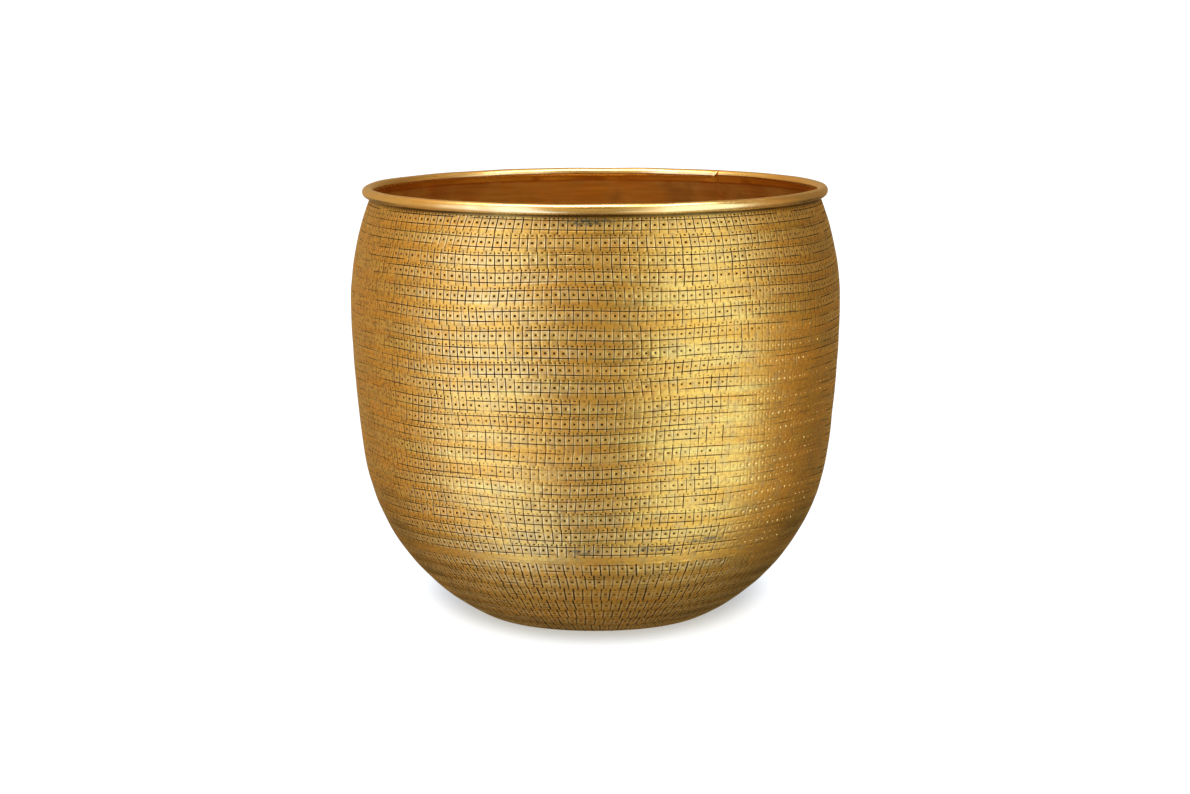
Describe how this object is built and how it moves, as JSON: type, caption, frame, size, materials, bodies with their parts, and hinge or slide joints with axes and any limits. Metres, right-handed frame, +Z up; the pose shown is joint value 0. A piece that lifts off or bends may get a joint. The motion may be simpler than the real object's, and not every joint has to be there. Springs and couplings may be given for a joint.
{
  "type": "planter pot",
  "caption": "Round bellied planter pot in stamped sheet metal, with a dished base, a flat foot and a rolled, wired rim round an open mouth.",
  "frame": {"origin": "middle of the foot's underside, on the pot's axis", "axes": "+Z up along the pot's axis; the joint in the rim is 55 degrees from +X towards +Y"},
  "size_m": [0.2998, 0.2998, 0.267],
  "materials": {
    "stamped_brass": "antique brass sheet with rows of punched squares and dots, dark in the lines, satin",
    "polished_brass": "smooth and polished",
    "steel_wire": "plain drawn wire",
    "braze": "pale braze metal, filed smooth"
  },
  "bodies": {
    "root": {"wall_shell": "stamped_brass", "base_dish": "stamped_brass", "rim_bead": "polished_brass", "rim_wire": "steel_wire", "base_seam_braze": "braze", "side_seam_braze": "braze", "rim_joint_braze": "braze"}
  },
  "joints": []
}
